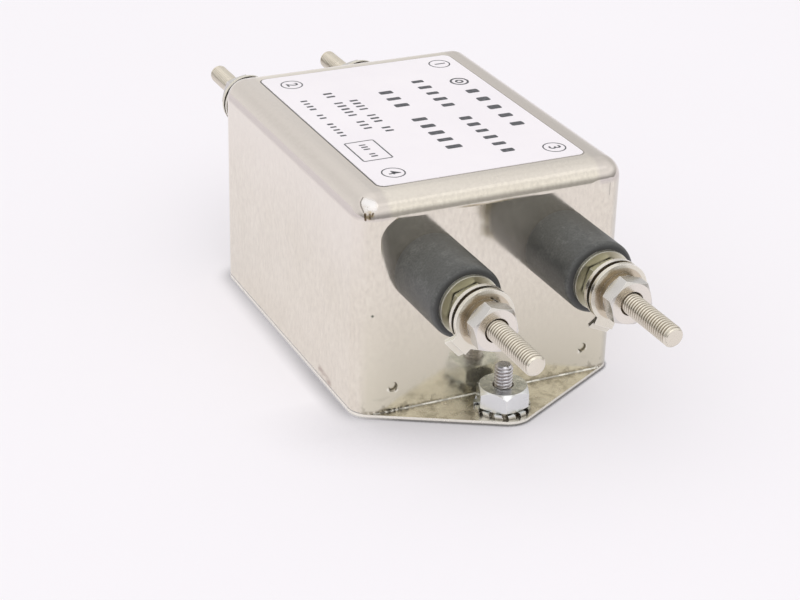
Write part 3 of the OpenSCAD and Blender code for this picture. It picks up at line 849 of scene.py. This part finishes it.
def add_label(paper, ink):
    """The sheet with plain bars and rings in place of lettering, and a number at each terminal."""
    lo, hi = corners("label")
    sheet = Batch()
    outline = rounded_outline(0, 0, hi.x - lo.x, hi.y - lo.y, LABEL_CORNER, CORNER_STEPS)
    sheet.prism(outline, lo.z, lo.z + SHEET_THICK)
    ob = add_mesh("label_sheet", sheet.verts, sheet.faces, paper, smooth=False)
    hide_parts("label")
    low, high = lo.z + INK_LOW, lo.z + INK_HIGH
    marks = Batch()
    draw = random.Random(BAR_SEED)
    for row in BAR_ROWS:
        add_bars(marks, draw, low, high, *row)
    for ring in RINGS:
        add_ring(marks, low, high, *ring)
    for place in TERMINALS.values():
        add_ring(marks, low, high, *place, *TERMINAL_RING)
    add_mesh("label_marks", marks.verts, marks.faces, ink, smooth=False)
    for digit, place in TERMINALS.items():
        add_digit(digit, *place, high, ink)


# ---------------------------------------------------------------- thin additions to the solids

def add_ear_edges(material):
    """Carries the ears' straight sides out to the plate's rounded corners, at its thickness."""
    tip = Vector((0, corners("base_plate")[1].y - EAR_TIP))
    corner = Vector((CAN.x - PLATE_CORNER, CAN.y - PLATE_CORNER))
    between = corner - tip
    # the line that touches the ear's round end and the plate's corner
    lean = math.atan2(between.y, between.x) + math.acos((EAR_TIP - PLATE_CORNER) / between.length)
    outline = ring_points(tip, EAR_TIP, lean, lean, 1)[:1]
    outline += ring_points(corner, PLATE_CORNER, lean, math.pi / 2, 6)
    # the solid ear's own side, from its root to where it touches the round end
    root = Vector((CAN.x, CAN.y - EAR_ROOT))
    rise = tip.y - root.y
    turn = math.atan2(rise, root.x) + math.asin(EAR_TIP / math.hypot(root.x, rise))
    touch = tip + EAR_TIP * Vector((math.sin(turn), math.cos(turn)))
    slope = (root.x - touch.x) / (touch.y - root.y)
    outline += [Vector((root.x - EAR_ROOT * slope, CAN.y)), touch]
    batch = Batch()
    for sx in (1, -1):
        for sy in (1, -1):
            side = [(sx * v.x, sy * v.y) for v in outline]
            batch.prism(side if sx * sy > 0 else side[::-1], 0, PLATE_THICK)
    add_mesh("ear_edges", batch.verts, batch.faces, material, smooth=False)


def add_can_lips(material):
    """The bright foot of both end walls, a thin three-sided bead on the plate."""
    reach, wall = CAN.x - LIP_SHORT, CAN.y - LIP_SINK
    rim = [(0, 1, 2), (5, 4, 3), (0, 3, 4, 1), (1, 4, 5, 2), (2, 5, 3, 0)]
    batch = Batch()
    for s in (1, -1):
        section = [(s * wall, PLATE_THICK), (s * (wall + LIP_HEIGHT), PLATE_THICK),
                   (s * wall, PLATE_THICK + LIP_HEIGHT)]
        verts = [Vector((x, y, z)) for x in (reach, -reach) for y, z in section]
        batch.add(verts, [face if s < 0 else face[::-1] for face in rim])
    add_mesh("can_lips", batch.verts, batch.faces, material, smooth=False)


# ---------------------------------------------------------------- stage

SOFT_FROM = (-0.42, -0.35, 0.84)    # where the soft light is strongest
SOFT_BASE, SOFT_GAIN, SOFT_POWER = 0.63, 1.13, 3.0
SOFT_COLOUR, BACKDROP = (0.985, 0.98, 1.0), (0.975, 0.95, 0.975)
MIRRORED_STRENGTH = 1.25
SKY_TINT = (1.0, 0.985, 0.97)
# what polished faces mirror, by height: place and brightness
FRONT_SKY = ((0.0, 0.34), (0.05, 0.37), (0.14, 0.46), (0.24, 0.66), (0.41, 0.86), (0.60, 0.80), (0.80, 0.79),
             (1.0, 0.72))
REAR_SKY = ((0.0, 0.66), (0.30, 0.60), (0.45, 0.585), (0.62, 0.66), (0.86, 0.70), (1.0, 0.72))
LIGHT_TARGET = (0, 0, 0.02)
# name, place and size in metres, power
LIGHTS = (("key", (-0.10, -0.50, 0.80), (0.7, 0.7), 0.5),
          ("edge", (0.40, -0.42, 0.72), (0.35, 0.20), 0.02))


def add_floor():
    """A sheet of white paper whose front edge lies just outside the view."""
    side, front = FLOOR_SIDE * MM, FLOOR_FRONT * MM
    me = bpy.data.meshes.new("floor")
    sheet = [(-side, front, 0), (side, front, 0), (side, side, 0), (-side, side, 0)]
    me.from_pydata(sheet, [], [(0, 1, 2, 3)])
    ob = bpy.data.objects.new("floor", me)
    bpy.context.collection.objects.link(ob)
    me.materials.append(floor_material())


def sky_ramp(w, height, stops):
    n = w.add("ShaderNodeValToRGB")
    w.put(n.inputs[0], height)
    while len(n.color_ramp.elements) < len(stops):
        n.color_ramp.elements.new(0.5)
    for element, (place, value) in zip(n.color_ramp.elements, stops):
        element.position = place
        element.color = (*(value * c for c in SKY_TINT), 1)
    return n.outputs[0]


def background(w, colour, strength):
    n = w.add("ShaderNodeBackground")
    w.put(n.inputs["Color"], (*colour, 1) if isinstance(colour, tuple) else colour)
    w.put(n.inputs["Strength"], strength)
    return n.outputs[0]


def choose(w, mask, a, b):
    n = w.add("ShaderNodeMixShader")
    for socket, v in zip(n.inputs, (mask, a, b)):
        w.put(socket, v)
    return n.outputs[0]


def add_world():
    """What polished faces mirror, in front of and behind the part, and a plain soft light for the rest."""
    world = bpy.data.worlds.new("studio")
    bpy.context.scene.world = world
    world.use_nodes = True
    world.node_tree.nodes.clear()
    w = Tree(world.node_tree)
    path = w.add("ShaderNodeLightPath")
    way = w.add("ShaderNodeTexCoord").outputs["Generated"]
    front = sky_ramp(w, w.part(way, Z), FRONT_SKY)
    # behind the part, the sky is a little brighter on the left
    rear = w.scaled(sky_ramp(w, w.part(way, Z), REAR_SKY), w.remap(w.part(way, X), 0.33, 0.47, 1.2, 0.95))
    mirrored = w.mix(w.remap(w.part(way, Y), -0.25, 0.25), front, rear)
    toward = w.most(w.vec("DOT_PRODUCT", way, Vector(SOFT_FROM).normalized()), 0.0)
    strength = w.plus(w.times(w.math("POWER", toward, SOFT_POWER), SOFT_GAIN), SOFT_BASE)
    soft = background(w, SOFT_COLOUR, strength)
    seen = choose(w, path.outputs["Is Glossy Ray"], soft, background(w, mirrored, MIRRORED_STRENGTH))
    seen = choose(w, path.outputs["Is Camera Ray"], seen, background(w, BACKDROP, 1.0))
    w.put(w.add("ShaderNodeOutputWorld").inputs["Surface"], seen)


def add_light(name, place, size, power):
    data = bpy.data.lights.new(name, "AREA")
    data.shape = "ELLIPSE"
    data.size, data.size_y = size
    data.energy = power
    ob = bpy.data.objects.new(name, data)
    bpy.context.collection.objects.link(ob)
    ob.location = place
    ob.rotation_euler = (Vector(LIGHT_TARGET) - Vector(place)).to_track_quat("-Z", "Y").to_euler()


# ---------------------------------------------------------------- build

def fastener_looks():
    nickel = metal("nickel_plate", (0.80, 0.765, 0.70), (0.70, 0.66, 0.58), 0.22).mat
    olive = metal("nickel_olive", (0.66, 0.64, 0.52), (0.42, 0.41, 0.31), 0.20).mat
    spring = metal("spring_nickel", (0.40, 0.345, 0.265), (0.27, 0.23, 0.17), 0.26, wear_and_glint=0.14).mat
    rim = metal("nickel_rim", (0.70, 0.68, 0.56), (0.60, 0.58, 0.46), 0.3,
                gap_shade=(0.34, 0.33, 0.25), wear_and_glint=0.24)
    zinc = zinc_material()
    looks = {"stud_%d" % n: nickel for n in range(1, 5)}
    looks.update({"plain_washers": nickel, "inner_washers": nickel, "inner_nuts": nickel})
    looks.update({"jam_nuts": olive, "bushing_washers": rim.mat, "terminal_nuts": nut_material()})
    looks.update({"tab_washers": tab_washer_material()})
    looks.update({"inner_spring_washers": spring, "outer_spring_washers": spring})
    looks.update({"ground_stud": zinc, "ground_lock_washer": zinc, "ground_nut": zinc})
    return looks


def inner_looks():
    """What is closed inside the can."""
    fibre = plain_material("fibre", (0.42, 0.26, 0.13), (0.34, 0.20, 0.10), 0.6)
    nylon = plain_material("nylon", (0.82, 0.81, 0.74), (0.76, 0.75, 0.68), 0.45)
    box = plain_material("capacitor_case", (0.72, 0.55, 0.06), (0.64, 0.48, 0.05), 0.3)
    turns = winding_material()
    red = plain_material("wire_red", (0.45, 0.03, 0.03), (0.38, 0.02, 0.02), 0.4)
    blue = plain_material("wire_blue", (0.03, 0.03, 0.34), (0.02, 0.02, 0.28), 0.4)
    return {
        "insulating_washers": fibre,
        "liner": fibre,
        "solder_lugs": plain_material("tinned_brass", (0.78, 0.70, 0.50), (0.66, 0.57, 0.38), 0.3, 1.0),
        "board_posts": nylon,
        "choke_divider": nylon,
        "circuit_board": plain_material("laminate", (0.36, 0.25, 0.10), (0.30, 0.20, 0.08), 0.45),
        "choke_core": plain_material("ferrite", (0.07, 0.11, 0.08), (0.05, 0.08, 0.06), 0.4),
        "choke_winding_a": turns,
        "choke_winding_b": turns,
        "line_capacitor": box,
        "load_capacitor": box,
        "ground_capacitors": plain_material("disc_coating", (0.06, 0.18, 0.46), (0.05, 0.14, 0.38), 0.3),
        "bleed_resistor": plain_material("resistor_body", (0.55, 0.42, 0.25), (0.48, 0.36, 0.20), 0.35),
        "wire_1": red,
        "wire_2": blue,
        "wire_3": red,
        "wire_4": blue,
    }


def finish_node(node, material):
    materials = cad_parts[node].data.materials
    if not materials:
        materials.append(material)
    for i in range(len(materials)):
        materials[i] = material


def build():
    plate, paper, phenolic = plate_material(), paper_material(), phenolic_material()
    looks = {"case": can_material(), "base_plate": plate, "label": paper}
    looks.update({"bushing_%d" % n: phenolic for n in range(1, 5)})
    looks.update(fastener_looks())
    looks.update(inner_looks())
    for node, material in looks.items():
        finish_node(node, material)
    add_threads()
    add_label(paper, ink_material())
    add_ear_edges(plate)
    add_can_lips(lip_material())


add_camera()
add_floor()
add_world()
for light in LIGHTS:
    add_light(*light)
bpy.context.scene.view_settings.view_transform = "Standard"
build()
